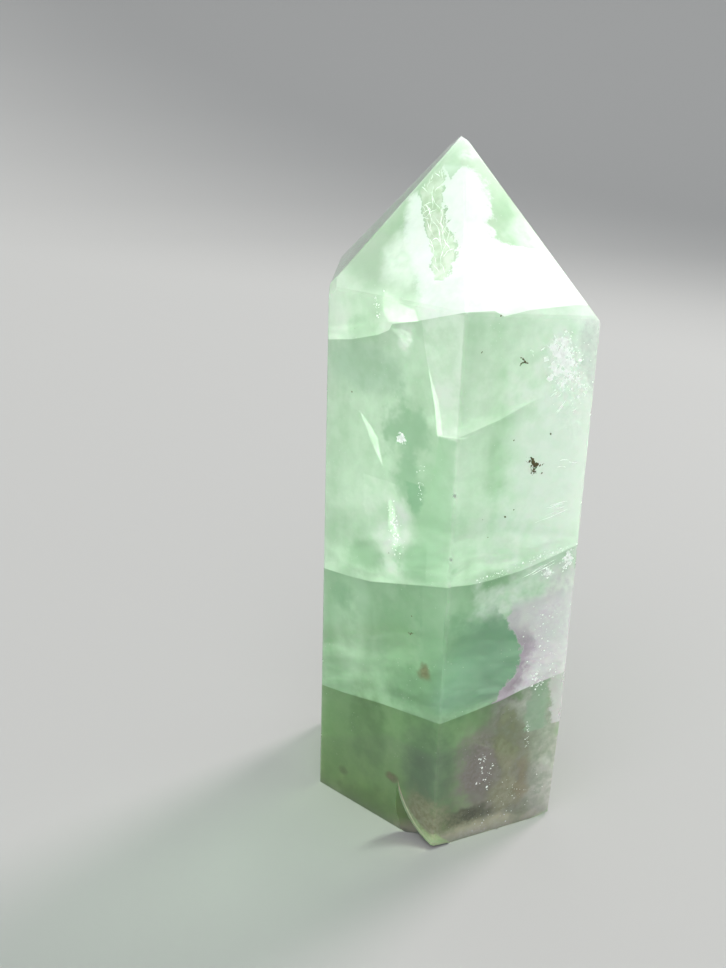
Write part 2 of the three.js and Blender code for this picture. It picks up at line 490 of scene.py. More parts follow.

# Clouds and stains, and some painted glow and painted shade, in the order that they are laid. Each
# has a centre and size in millimetres, a linear tone, how strongly it shows, how ragged its rim is,
# the tone that it is marbled with, and which marbling it has.
clouds = {
    "paleRight": ((12, -9.8, 52), (7, 9, 20), (1, 1, 1), 0.92, 0.3, (0.93, 0.97, 0.93), 2),
    "paleWedge": ((8.6, -12.2, 63), (5.4, 5, 7), (0.96, 0.98, 0.94), 0.75, 0.6, (0.8, 0.88, 0.79), 2),
    "snow": ((13.6, -8.7, 62.6), (4, 6, 5.6), (0.97, 0.97, 0.96), 0.8, 1.1, (0.84, 0.85, 0.85), 0.5),
    "snowTail": ((13.8, -8.7, 56), (2.6, 5, 3.4), (1, 1, 1), 0.7, 1.1, (0.86, 0.88, 0.87), 0.5),
    # painted glow round the bright flake tail
    "tailGlow": ((-5.6, -12, 64.4), (1.2, 2, 1.7), (1, 1, 0.98), 0.95, 0.8, (0.88, 0.97, 0.87), 1),
    # painted glow
    "rightGlow": ((7, -12.9, 43), (5, 4, 6), (0.95, 1, 0.94), 0.8, 0.5, (0.8, 0.92, 0.8), 2),
    "upperRight": ((3.6, -14.6, 62), (2.4, 3, 5.4), (0.8, 0.88, 0.78), 0.7, 0.4, (0.74, 0.84, 0.72), 2),
    "sprayHalo": ((10.2, -11, 51.4), (2.4, 3, 2.6), (1, 1, 1), 0.95, 0.9, (0.95, 0.97, 0.95), 0.5),
    # painted shade below the shoulder crack
    "shadeUnderShoulder": ((-10.4, -9, 60.4), (8.4, 5, 3.6), (0.48, 0.64, 0.51), 0.75, 0.3,
                      (0.53, 0.69, 0.54), 2),
    "darkHigh": ((-5, -12.7, 54.6), (2.8, 3, 4.4), (0.3, 0.5, 0.32), 0.75, 1, (0.42, 0.62, 0.44), 1),
    "darkPatch": ((-4.6, -12.8, 48.4), (1.8, 3, 4), (0.32, 0.54, 0.35), 0.7, 0.9, (0.42, 0.63, 0.44), 1),
    # painted glow round the bright flake inside
    "glowPatch": ((-5.6, -12, 41), (2.9, 3, 5.8), (1, 1, 0.97), 1.0, 0.7, (0.92, 1, 0.9), 1),
    "greenMiddle": ((-1.4, -15.4, 44), (3.4, 3, 9), (0.46, 0.69, 0.47), 0.7, 0.3, (0.53, 0.75, 0.53), 2),
    "paleLeft": ((-11, -9.6, 44), (4, 3, 6), (0.84, 0.94, 0.82), 0.6, 0.5, (0.72, 0.86, 0.72), 2),
    "belowGlow": ((-9.4, -9.6, 37), (3, 3, 2.4), (0.32, 0.52, 0.33), 0.85, 0.4, (0.4, 0.6, 0.4), 1),
    "aboveLower": ((-2, -14, 38.4), (5.4, 3, 2.8), (0.34, 0.57, 0.36), 0.85, 0.3, (0.42, 0.65, 0.43), 1),
    "lowerLeft": ((-11.4, -8.9, 27), (3, 3, 8), (0.58, 0.78, 0.58), 0.85, 0.2, (0.52, 0.72, 0.52), 2),
    "lowerDim": ((-5, -13, 27), (3.4, 3, 8), (0.3, 0.52, 0.3), 0.75, 0.3, (0.36, 0.57, 0.36), 2),
    "lowerMiddle": ((0.8, -15.6, 28), (4.4, 3, 6), (0.23, 0.43, 0.25), 0.8, 0.3, (0.28, 0.48, 0.3), 2),
    "lowerPale": ((-9.7, -9.9, 31.6), (1.5, 2, 2.4), (0.52, 0.73, 0.53), 0.7, 0.2, (0.56, 0.76, 0.57), 1),
    # painted shade below the lower crack
    "lowerShade": ((-12.6, -8.4, 30.6), (1.6, 2, 2), (0.3, 0.5, 0.32), 0.6, 0.4, (0.36, 0.56, 0.38), 1),
    "underCrackRight": ((9.6, -12.2, 34.4), (6.6, 4, 4), (1, 1, 1), 0.95, 0.8, (0.84, 0.93, 0.84), 1),
    "frostRight": ((14.4, -8.6, 29), (4, 8, 9), (0.98, 0.9, 0.95), 0.9, 0.8, (0.8, 0.66, 0.8), 1),
    "footCrackDim": ((-1, -15, 22), (8, 4, 4), (0.17, 0.33, 0.18), 0.8, 0.3, (0.2, 0.37, 0.21), 2),
    "mauveStreak": ((10.7, -10.7, 24.6), (1.1, 4, 4.4), (0.62, 0.55, 0.64), 0.75, 0.6,
                    (0.75, 0.71, 0.76), 1),
    "mauveTail": ((8.8, -12, 18.4), (2.4, 3, 3), (0.56, 0.5, 0.54), 0.85, 0.8, (0.42, 0.38, 0.38), 1),
    "footEdge": ((0, -15, 11), (4, 4, 10), (0.12, 0.19, 0.12), 0.75, 0.2, (0.15, 0.225, 0.14), 2),
    "footLeftDim": ((-8.4, -11, 13), (4, 3, 8), (0.15, 0.28, 0.11), 0.45, 0.3, (0.17, 0.3, 0.13), 2),
    "footMurk": ((10, -11.9, 9), (8.6, 7, 13), (0.42, 0.4, 0.34), 1.0, 0.25, (0.32, 0.32, 0.24), 1),
    "footTopRight": ((12.4, -10, 18.6), (3.4, 4, 3.4), (0.86, 0.86, 0.8), 0.9, 0.9, (0.56, 0.56, 0.52), 1),
    "paleFoot": ((14.6, -8.9, 8), (3.2, 6, 11), (0.68, 0.68, 0.6), 0.9, 0.7, (0.46, 0.47, 0.4), 1),
    "paleLump": ((14.4, -8.9, 8.6), (0.8, 3, 1.4), (0.84, 0.8, 0.76), 0.45, 0.9, (0.66, 0.64, 0.6), 0.5),
    "mauveFoot": ((6, -14, 11.6), (3.4, 3, 6), (0.31, 0.27, 0.24), 0.85, 0.5, (0.42, 0.38, 0.36), 0.5),
    "olive": ((9.6, -11.9, 13), (2, 3, 5), (0.25, 0.26, 0.13), 0.8, 1, (0.46, 0.47, 0.31), 1),
    "yellow": ((9.6, -11.5, 7), (2.2, 3, 5), (0.5, 0.5, 0.34), 0.85, 1, (0.36, 0.35, 0.22), 1),
    "rust": ((11.6, -10.6, 8), (1, 3, 4.4), (0.34, 0.29, 0.17), 0.6, 1, (0.5, 0.44, 0.3), 0.5),
    "murk": ((4.8, -14.6, 3.6), (4.2, 3, 1.5), (0.06, 0.065, 0.035), 0.85, 0.9, (0.2, 0.2, 0.13), 0.5),
    "oliveEdge": ((-0.4, -15.6, 3), (4, 4, 4.4), (0.26, 0.27, 0.15), 0.95, 0.5, (0.38, 0.39, 0.25), 0.5),
    "paleBase": ((6.4, -14, 0), (12, 6, 2.5), (1, 0.98, 0.66), 0.95, 0.4, (0.8, 0.8, 0.5), 0.5),
    "darkHeel": ((-8, -12, 0), (9, 5, 4), (0.13, 0.23, 0.07), 0.7, 0.4, (0.16, 0.26, 0.09), 2),
    "brownSmudge": ((-1.45, -15.2, 25), (0.9, 2, 1.3), (0.16, 0.13, 0.06), 0.95, 0.8,
                    (0.24, 0.22, 0.12), 0.5),
    "footSmudge": ((-11.9, -9, 4.3), (0.8, 2, 0.8), (0.12, 0.2, 0.07), 0.8, 0.6, (0.2, 0.3, 0.12), 0.5),
    "scarSmudge": ((-4.9, -13.3, 7.5), (1, 2, 0.8), (0.16, 0.16, 0.07), 0.85, 0.6, (0.26, 0.26, 0.15), 0.5),
    "leftTip": ((-9.2, -9.6, 67.6), (1.7, 3, 2.6), (0.58, 0.73, 0.56), 0.8, 0.4, (0.66, 0.8, 0.64), 1),
    "tipGreen": ((-9, -6, 72), (2.6, 6, 3.6), (0.42, 0.53, 0.4), 0.7, 0.3, (0.5, 0.6, 0.47), 2),
    "tipMist": ((-6.6, -8, 72.4), (2.6, 4, 3.8), (0.96, 1, 0.94), 0.8, 0.5, (0.76, 0.83, 0.74), 1),
    "shoulderLeft": ((-10.6, -9.4, 64.6), (2.6, 3, 1.7), (0.5, 0.68, 0.5), 0.8, 0.3, (0.58, 0.75, 0.57), 1),
    "ridgeMist": ((8.5, -4.5, 75), (4.6, 6, 4), (0.85, 0.9, 0.85), 0.8, 0.5, (0.66, 0.72, 0.64), 1),
    "apexFleck": ((0, -2.4, 83), (1.3, 2, 0.7), (0.8, 0.85, 0.78), 0.7, 0.7, (0.5, 0.6, 0.48), 0.5),
}

# Zones with crisp borders, laid over the clouds on the front of the stone. left and right: each
# border as height and x. heights: where the zone starts and ends. band: the one that it stays in.
# soft: over how much it fades at its left, right, foot and top. grain: which marbling its veins have.
zones = {
    "paleBlock": {
        "left": [(40.8, -9.1), (43.5, -10), (46.5, -10.3)],
        "right": [(40.8, -4.4), (42.6, -4.3), (45.2, -5), (47.9, -6)],
        "heights": (40, 47.6), "band": "middle",
        "soft": (0.3, 0.9, 3, 0.25), "ragged": 0.3, "strength": 0.75,
        "tone": (0.86, 0.98, 0.84), "vein": (0.76, 0.9, 0.75), "grain": 2,
    },
    "darkCorner": {
        "left": [(44.4, -4.1), (46, -4.7), (48.1, -5)], "right": [(44.4, -2.6), (48.9, -2.2)],
        "heights": (43.6, 48.4), "band": "middle",
        "soft": (0.6, 0.9, 2.6, 0.2), "ragged": 0.4, "strength": 0.85,
        "tone": (0.27, 0.5, 0.31), "vein": (0.34, 0.58, 0.38), "grain": 1,
    },
    "edgeBlock": {
        "left": [(30.7, -2.1), (36.1, -2.3)], "right": [(30.7, 0.8), (36, 0.9)],
        "heights": (28, 38), "band": "lower",
        "soft": (0.3, 0.3, 5, 0.3), "ragged": 0.1, "strength": 0.6,
        "tone": (0.42, 0.63, 0.42), "vein": (0.46, 0.67, 0.46), "grain": 2,
    },
    "tealHeart": {
        "left": [(21, -2.4), (32.4, 0.9)],
        "right": [(19.8, 7.6), (21.8, 8.7), (24.3, 10.4), (27.2, 10.5), (31.2, 8.2), (34, 6.4)],
        "heights": (19, 35), "band": "lower",
        "soft": (5, 0.4, 3, 6), "ragged": 0.4, "strength": 0.85,
        "tone": (0.21, 0.4, 0.28), "vein": (0.29, 0.47, 0.35), "grain": 2,
    },
    "mauveSide": {
        "left": [(20, 6.9), (21.8, 7.9), (24.3, 9.6), (27.2, 9.7), (31.2, 7.7), (34, 8.4)],
        "right": [(20, 17), (34, 17)],
        "heights": (18, 34.4), "band": "lower",
        "soft": (0.5, 1, 1, 2.6), "ragged": 0.4, "strength": 0.85,
        "tone": (0.78, 0.6, 0.78), "vein": (1, 0.85, 0.98), "grain": 2,
    },
    "mauveVein": {
        "left": [(19, 6), (20, 6.9), (21.8, 7.9), (24.3, 9.6), (27.2, 9.7), (31.2, 7.9)],
        "right": [(19, 10), (24, 12.4), (28, 12.2), (31.2, 9.8)],
        "heights": (18, 32), "band": "lower",
        "soft": (0.5, 2.2, 1, 5), "ragged": 0.6, "strength": 0.85,
        "tone": (0.48, 0.3, 0.48), "vein": (0.68, 0.48, 0.68), "grain": 1,
    },
    "mauveSparkle": {
        "left": [(20, 9), (27, 11), (34, 10)], "right": [(20, 17), (34, 17)],
        "heights": (18, 34.4), "band": "lower",
        "soft": (1.4, 1, 2, 3), "ragged": 1, "strength": 0.6,
        "tone": (0.88, 0.7, 0.88), "vein": (1, 0.9, 1), "grain": 0.5,
    },
    "greenLedge": {
        "left": [(14.2, 11.3), (16, 10.9), (18, 11), (21, 11.6)], "right": [(14.2, 14.2), (22, 14)],
        "heights": (14.2, 24), "band": "foot",
        "soft": (0.7, 0.7, 0.3, 2.6), "ragged": 0.5, "strength": 0.85,
        "tone": (0.46, 0.6, 0.46), "vein": (0.62, 0.72, 0.6), "grain": 1,
    },
    "paleLedge": {
        "left": [(14.6, 14.3), (16, 14.3), (18.5, 14), (20, 13.8), (22, 13.4)],
        "right": [(14.6, 17), (26, 17)],
        "heights": (14.6, 27), "band": "foot",
        "soft": (0.6, 0.3, 0.25, 1), "ragged": 0.5, "strength": 0.9,
        "tone": (0.92, 0.84, 0.88), "vein": (1, 0.95, 0.98), "grain": 1,
    },
    "scarRim": {
        "left": [(0.4, 0.9), (0.77, 0.56), (1.28, -0.54), (2.24, -1.67), (3.18, -2.4), (4.42, -3.14),
                 (6.28, -3.91), (7.78, -4.24)],
        "right": [(0.3, 3.2), (0.77, 1.5), (1.28, 0.1), (2.24, -1.2), (3.18, -2), (4.42, -2.85),
                  (6.28, -3.68), (7.78, -4.08)],
        "heights": (0, 7.8), "band": "foot",
        "soft": (0.08, 0.16, 0.2, 1.4), "ragged": 0.04, "strength": 0.85,
        "tone": (1, 0.74, 0.58), "vein": (0.86, 0.64, 0.48), "grain": 0.5,
    },
    "column": {
        "left": [(54, -1.3), (58, -1.9), (61.3, -2.7), (64.6, -3.4), (67.5, -3.9)],
        "right": [(54, 1), (68, 1)],
        "heights": (54.4, 68.4), "band": "middle",
        "soft": (0.15, 0.3, 0.3, 0.3), "ragged": 0.05, "strength": 0.85,
        "tone": (0.92, 0.99, 0.9), "vein": (0.8, 0.9, 0.78), "grain": 2,
    },
    "columnFoot": {
        "left": [(38, -2), (41.5, -2), (48.9, -1.7), (54.4, -1.3)], "right": [(38, 0.9), (54.4, 1)],
        "heights": (36, 54.8), "band": "middle",
        "soft": (0.3, 0.4, 2, 0.3), "ragged": 0.1, "strength": 0.6,
        "tone": (0.48, 0.71, 0.49), "vein": (0.54, 0.75, 0.54), "grain": 2,
    },
    "fibreWindow": {
        "left": [(71.1, -3), (72.2, -3.1), (74.9, -4), (76.3, -4.65), (77.9, -5.15), (79.2, -5.5),
                 (80.4, -4.4), (81.4, -3.6)],
        "right": [(71, -1.5), (71.8, -1.1), (73.4, -0.8), (75, -1), (76.1, -1.9), (77.7, -2.5),
                  (79.3, -2.75), (80.8, -2.65), (81.4, -3.2)],
        "heights": (70.7, 81.6), "band": "point",
        "soft": (0.2, 0.2, 0.6, 0.6), "ragged": 0.3, "strength": 1,
        "tone": (0.56, 0.63, 0.5), "vein": (0.84, 0.88, 0.78), "grain": 1,
    },
    "snowPatch": {
        "left": [(57.4, 14.4), (59.4, 12.4), (60.2, 10.7), (61.1, 9.9), (64.4, 9.7), (66.5, 10.2)],
        "right": [(57.4, 15.3), (58.3, 14.9), (61, 13.6), (64.2, 12.6), (66.9, 12.4)],
        "heights": (57, 67.6), "band": "middle",
        "soft": (0.25, 0.7, 0.6, 3), "ragged": 0.8, "strength": 1,
        "tone": (1, 1, 1), "vein": (1, 0.99, 1), "grain": 1,
    },
    "lavenderEdge": {
        "left": [(57, 15.4), (61, 14), (64, 13.2), (67, 13)], "right": [(57, 17), (67, 17)],
        "heights": (56.6, 67.4), "band": "middle",
        "soft": (0.6, 0.3, 2, 1), "ragged": 0.7, "strength": 0.8,
        "tone": (0.62, 0.58, 0.63), "vein": (0.88, 0.86, 0.88), "grain": 0.5,
    },
    # partly milky veils, partly painted glow of the lamp behind shining through the point
    "milkAndPaintedGlowSpear": {
        "left": [(66, -4.4), (69, -4.6), (70.3, -5.1), (71.8, -5.8), (73.3, -6.6), (74.9, -7.4),
                 (76.8, -7.4), (78.2, -7), (79, -6.2)],
        "right": [(70.2, -2), (71.1, -2.7), (72.2, -3.1), (73.6, -3.4), (74.9, -4), (76.3, -4.65),
                  (77.9, -5.15), (79, -5.5)],
        "heights": (66, 79.2), "band": "point",
        "soft": (1.6, 0.15, 0.3, 0.3), "ragged": 0.45, "strength": 1,
        "tone": (1, 1, 1), "vein": (0.99, 1, 0.99), "grain": 1,
    },
    # partly milky veils, partly painted glow of the lamp behind shining through the point
    "milkAndPaintedGlowHeart": {
        "left": [(67, -3.4), (69, -3.65), (70.7, -3.4), (71, -1.6), (71.8, -1.14), (73.4, -0.9),
                 (75, -1.1), (76.1, -2), (77.7, -2.5), (79.3, -2.84), (80.4, -2.8), (81.5, -3.3)],
        "right": [(72.6, 17), (73.6, 9), (74.2, 5.4), (75, 3.6), (76.2, 3.1), (77.5, 3.2),
                  (78.7, 3), (80, 2.4), (80.8, 1.6), (81.8, 0.6)],
        "heights": (64, 82), "band": "point",
        "soft": (0.3, 1.1, 0.3, 0.5), "ragged": 0.8, "strength": 1,
        "tone": (1, 1, 1), "vein": (0.97, 0.99, 0.97), "grain": 1,
    },
    "tipNotch": {
        "left": [(80.4, -2), (81.4, -2.9)], "right": [(80.4, -1.8), (81.9, -0.9)],
        "heights": (80.2, 82.2), "band": "point",
        "soft": (0.2, 0.2, 0.3, 0.3), "ragged": 0.3, "strength": 1,
        "tone": (0.48, 0.58, 0.46), "vein": (0.62, 0.7, 0.6), "grain": 1,
    },
}

# How fine the noise of each marbling is, by its grain in millimetres
marblings = {0.5: 2, 1: 3, 2: 3}

# How mist, mottling and the cracks change the tones. rim: over which shares of its size a cloud
# fades out. drift and waver: how large the waves are in the rims of the clouds and in the borders of
# the zones. front: between which y the zones fade out.
mottling = {
    "mist": {"grain": 5, "drawnOut": 0.3, "between": (0.35, 0.68), "pale": (1.12, 1.08, 1.12, 1),
             "dark": (0.88, 0.92, 0.88, 1)},
    "rim": (0.35, 1.25),
    "drift": 3.2,
    "waver": 1.1,
    "front": (2, -6),
    # glow and shade: painted light above the cracks and painted shade below them
    "glow": (0.86, 0.97, 0.84, 1),
    "paintedShade": (0.03, 0.1, 0.04, 1),
    "pale": (1.06, 1.05, 1.06, 1),
    "dark": (0.94, 0.96, 0.94, 1),
    "bubbles": {"closeness": 1.6, "size": (0.13, 0.05), "grain": 4, "between": (0.52, 0.62),
                "strength": 0.4, "tone": (0.97, 1, 0.96, 1)},
}

frontFaces = ("frontLeft", "frontRight")


# How far a point lies behind the two front faces, as nodes
def depthNodes(tree, point):
    away = []
    for name in frontFaces:
        foot, normal = sidePlane(name)
        reached = vectors(tree, "DOT_PRODUCT", point, normal)
        away.append(maths(tree, "SUBTRACT", foot.dot(normal), reached))
    return maths(tree, "MINIMUM", away[0], away[1])


# The painted glow above the crack and the painted shade below it fade away from the crack on either
# side, and Side is 1 all the way up
def makeCrackSideLightAndShade():
    tree, given, out = newGroup(
        "crackSideLightAndShade",
        [("Height", "NodeSocketFloat"), ("Crack Height", "NodeSocketFloat"),
         ("Reach Up", "NodeSocketFloat"), ("Reach Down", "NodeSocketFloat")],
        [("Side", "NodeSocketFloat"), ("Glow Above", "NodeSocketFloat"), ("Shade Below", "NodeSocketFloat")])
    over = maths(tree, "SUBTRACT", given["Height"], given["Crack Height"])
    side = easeBetween(tree, over, -0.06, 0.06)
    fallen = maths(tree, "MULTIPLY", over, -1)
    up = maths(tree, "EXPONENT", maths(tree, "DIVIDE", fallen, given["Reach Up"]))
    down = maths(tree, "EXPONENT", maths(tree, "DIVIDE", over, given["Reach Down"]))
    feed(tree, side, out["Side"])
    feed(tree, maths(tree, "MULTIPLY", side, up, clamp=True), out["Glow Above"])
    under = maths(tree, "SUBTRACT", 1.0, side)
    feed(tree, maths(tree, "MULTIPLY", under, down, clamp=True), out["Shade Below"])
    return tree


# 1 inside a soft-edged egg, 0 outside it. Squeeze and Shift bring its centre to 0 and its size to 1.
def makeCloud():
    tree, given, out = newGroup(
        "cloud",
        [("Point", "NodeSocketVector"), ("Squeeze", "NodeSocketVector"), ("Shift", "NodeSocketVector"),
         ("Drift", "NodeSocketFloat"), ("Ragged", "NodeSocketFloat"), ("Strength", "NodeSocketFloat")],
        [("Mask", "NodeSocketFloat")])
    away = vectors(tree, "MULTIPLY_ADD", given["Point"], given["Squeeze"], given["Shift"])
    reach = vectors(tree, "LENGTH", away)
    rim = maths(tree, "MULTIPLY_ADD", given["Drift"], given["Ragged"], reach)
    mask = fill(tree, addNode(tree, "ShaderNodeMapRange", interpolation_type="SMOOTHSTEP"), {
        "Value": rim, "From Min": mottling["rim"][0], "From Max": mottling["rim"][1],
        "To Min": given["Strength"], "To Max": 0})
    feed(tree, mask["Result"], out["Mask"])
    return tree


# Lays a tone over the colour where the mask is 1, with its veins where the marbling is 1
def layTone(tree, colour, mask, tone, vein, marbled):
    colour = mixColours(tree, mask, colour, (*tone, 1))
    return mixColours(tree, maths(tree, "MULTIPLY", mask, marbled), colour, (*vein, 1))


# 1 between a zone's borders, 0 outside them. across is where the point lies in widthSpan.
def zoneMask(tree, zone, across, height, waver):
    width = widthSpan[1] - widthSpan[0]
    low, high = zone["heights"]
    swayed = maths(tree, "MULTIPLY_ADD", waver, zone["ragged"] / width, across)
    left, right = (lineShare(tree, height, zone[side], (low - 1, high + 1), widthSpan)
                   for side in ("left", "right"))
    softLeft, softRight, softLow, softHigh = zone["soft"]
    mask = easeBetween(tree, maths(tree, "SUBTRACT", swayed, left), 0, softLeft / width)
    for side in (easeBetween(tree, maths(tree, "SUBTRACT", right, swayed), 0, softRight / width),
                 easeBetween(tree, height, low, low + softLow),
                 easeBetween(tree, height, high, high - softHigh, zone["strength"])):
        mask = maths(tree, "MULTIPLY", mask, side)
    return mask


def makeFluoriteColour():
    tree, given, out = newGroup("fluoriteColour", [], [("Color", "NodeSocketColor")])
    crackSideLightAndShade, cloud = makeCrackSideLightAndShade(), makeCloud()
    point = stonePoint(tree)
    x, y, height = splitPoint(tree, point)
    depth = depthNodes(tree, point)
    # drift and waver swing about 0, by up to 1.5 and 2
    drift = maths(tree, "MULTIPLY_ADD", cloudAt(tree, point, mottling["drift"]), 3, -1.5)
    reached = {}
    for name, crack in cracks.items():
        fallen = maths(tree, "MULTIPLY", depth, crack["fall"])
        traced = alongLine(tree, x, crack["trace"], widthSpan, heightSpan)
        crackHeight = maths(tree, "SUBTRACT", traced, fallen)
        tones = crackLightAndShade[name]
        reached[name] = useGroup(tree, crackSideLightAndShade, {"Height": height, "Crack Height": crackHeight,
                                                   "Reach Up": tones["glow"][1],
                                                   "Reach Down": tones["paintedShade"][1]})
    # The wedge stops at its steep left side
    wedge = cracks["wedgeCrack"]
    climbed = maths(tree, "SUBTRACT", height, wedge["side"]["height"])
    besideWedge = maths(tree, "ADD", x, maths(tree, "MULTIPLY", climbed, wedge["side"]["lean"]))
    inWedge = maths(tree, "MULTIPLY", easeBetween(tree, besideWedge, *wedge["fade"]["left"]),
                    easeBetween(tree, x, *wedge["fade"]["right"]))
    colour = None
    for band in bands.values():
        climb = easeBetween(tree, height, *band["heights"])
        tone = mixColours(tree, climb, (*band["low"], 1), (*band["high"], 1))
        colour = mixColours(tree, reached[band["over"]]["Side"], colour, tone) if band["over"] else tone
    # Mist: soft clouds, drawn out upwards, that lighten and darken the whole stone
    misty = mottling["mist"]
    tall = vectors(tree, "MULTIPLY", point, (1, 1, misty["drawnOut"]))
    mist = easeBetween(tree, cloudAt(tree, tall, misty["grain"]), *misty["between"])
    paler = mixColours(tree, 1.0, colour, misty["pale"], "MULTIPLY")
    darker = mixColours(tree, 1.0, colour, misty["dark"], "MULTIPLY")
    colour = mixColours(tree, mist, darker, paler)
    marbling = {grain: easeBetween(tree, cloudAt(tree, point, grain, detail), 0.3, 0.7)
                for grain, detail in marblings.items()}
    for centre, size, tone, strength, ragged, vein, grain in clouds.values():
        mask = useGroup(tree, cloud, {
            "Point": point, "Squeeze": tuple(1 / length for length in size),
            "Shift": tuple(-place / length for place, length in zip(centre, size)),
            "Drift": drift, "Ragged": ragged, "Strength": strength})["Mask"]
        colour = layTone(tree, colour, mask, tone, vein, marbling[grain])
    # The back has none of the front's zones
    inFront = easeBetween(tree, maths(tree, "MULTIPLY_ADD", drift, 2, y), *mottling["front"])
    waver = cloudAt(tree, point, mottling["waver"], roughness=0.65)
    waver = maths(tree, "MULTIPLY_ADD", waver, 4, -2)
    across = shareOf(tree, x, widthSpan)
    blocks = {}
    floors = [band["over"] for band in bands.values()]
    for band, under, over in zip(bands, floors, floors[1:] + [None]):
        block = maths(tree, "MULTIPLY", inFront, reached[under]["Side"]) if under else inFront
        if over:
            block = maths(tree, "MULTIPLY", block, maths(tree, "SUBTRACT", 1.0, reached[over]["Side"]))
        blocks[band] = block
    for zone in zones.values():
        mask = zoneMask(tree, zone, across, height, waver)
        mask = maths(tree, "MULTIPLY", mask, blocks[zone["band"]])
        colour = layTone(tree, colour, mask, zone["tone"], zone["vein"], marbling[zone["grain"]])
    # The cracks' painted light: a painted glow above each, where it reflects the lamp, and a painted shadow
    # below it
    for name, tones in crackLightAndShade.items():
        above, below = reached[name]["Glow Above"], reached[name]["Shade Below"]
        if name == "wedgeCrack":
            above = maths(tree, "MULTIPLY", above, inWedge)
            below = maths(tree, "MULTIPLY", below, inWedge)
        glow = maths(tree, "MULTIPLY", above, tones["glow"][0])
        colour = mixColours(tree, glow, colour, mottling["glow"])
        paintedShade = maths(tree, "MULTIPLY", below, tones["paintedShade"][0])
        colour = mixColours(tree, paintedShade, colour, mottling["paintedShade"])
    mottled = mixColours(tree, marbling[2], mottling["pale"], mottling["dark"])
    colour = mixColours(tree, 1.0, colour, mottled, "MULTIPLY")
    # Pinpoint bubbles, here and there
    bubbles = mottling["bubbles"]
    cells = fill(tree, addNode(tree, "ShaderNodeTexVoronoi"),
                 {"Vector": point, "Scale": bubbles["closeness"]})
    specks = easeBetween(tree, cells["Distance"], *bubbles["size"])
    where = easeBetween(tree, cloudAt(tree, point, bubbles["grain"], detail=1), *bubbles["between"])
    specks = maths(tree, "MULTIPLY", maths(tree, "MULTIPLY", specks, where), bubbles["strength"])
    feed(tree, mixColours(tree, specks, colour, bubbles["tone"]), out["Color"])
    return tree


fluoriteColour = makeFluoriteColour()


# The stone's tones up its height, without its clouds and zones
def makeFluoriteTone():
    tree, given, out = newGroup("fluoriteTone", [], [("Color", "NodeSocketColor")])
    height = splitPoint(tree, stonePoint(tree))["Z"]
    colour = None
    for band in bands.values():
        tone = tuple((first + second) / 2 for first, second in zip(band["low"], band["high"]))
        reached = easeBetween(tree, height, band["start"] - 1, band["start"] + 1)
        colour = mixColours(tree, reached, colour, (*tone, 1)) if colour else (*tone, 1)
    feed(tree, colour, out["Color"])
    return tree


fluoriteTone = makeFluoriteTone()


# How the faces were ground and polished: fine strokes, low waves and smudges. Output Height is in
# millimetres, and Smudge is 1 where the polish is dulled.
grindMarks = {
    "strokes": {"grain": 0.22, "drawnOut": 0.06, "between": (0.42, 0.6)},
    "waves": {"grain": 4},
    "smudges": {"grain": 7, "between": (0.45, 0.65)},
}


def makeGrinding():
    tree, given, out = newGroup("grinding", [("Stroke", "NodeSocketFloat"), ("Wave", "NodeSocketFloat")],
                                [("Height", "NodeSocketFloat"), ("Smudge", "NodeSocketFloat")])
    strokes, waves, smudges = grindMarks.values()
    point = stonePoint(tree)
    drawnOut = vectors(tree, "MULTIPLY", point, (1, 1, strokes["drawnOut"]))
    stroke = easeBetween(tree, cloudAt(tree, drawnOut, strokes["grain"]), *strokes["between"])
    wave = cloudAt(tree, point, waves["grain"], detail=2)
    height = maths(tree, "ADD", maths(tree, "MULTIPLY", stroke, given["Stroke"]),
                   maths(tree, "MULTIPLY", wave, given["Wave"]))
    feed(tree, height, out["Height"])
    smudge = cloudAt(tree, point, smudges["grain"], detail=5, distortion=0.6)
    feed(tree, easeBetween(tree, smudge, *smudges["between"]), out["Smudge"])
    return tree


grinding = makeGrinding()

# The stone itself, polished on the ground faces and duller where it is broken. milk: how light
# scatters in it. lampTint: what a lamp's light takes on as it enters the stone.
fluorite = {
    "ior": 1.434,
    "specular": 0.1,
    "milk": {"radius": (0.9, 1.2, 1), "scale": 0.014},
    "coatRoughness": 0.03,
    "absorption": {"Color": (0.6, 0.85, 0.68, 1), "Density": 7},
    "bump": 0.6,
    "lampTint": (0.72, 0.77, 0.73, 1),
    "polished": {"roughness": 0.14, "smudge": 0.1, "stroke": 0.0015, "wave": 0.05, "clearness": 0.55,
                 "polish": 1},
    "broken": {"roughness": 0.3, "smudge": 0.1, "stroke": 0.006, "wave": 0.2, "clearness": 0.55,
               "polish": 0.4},
}


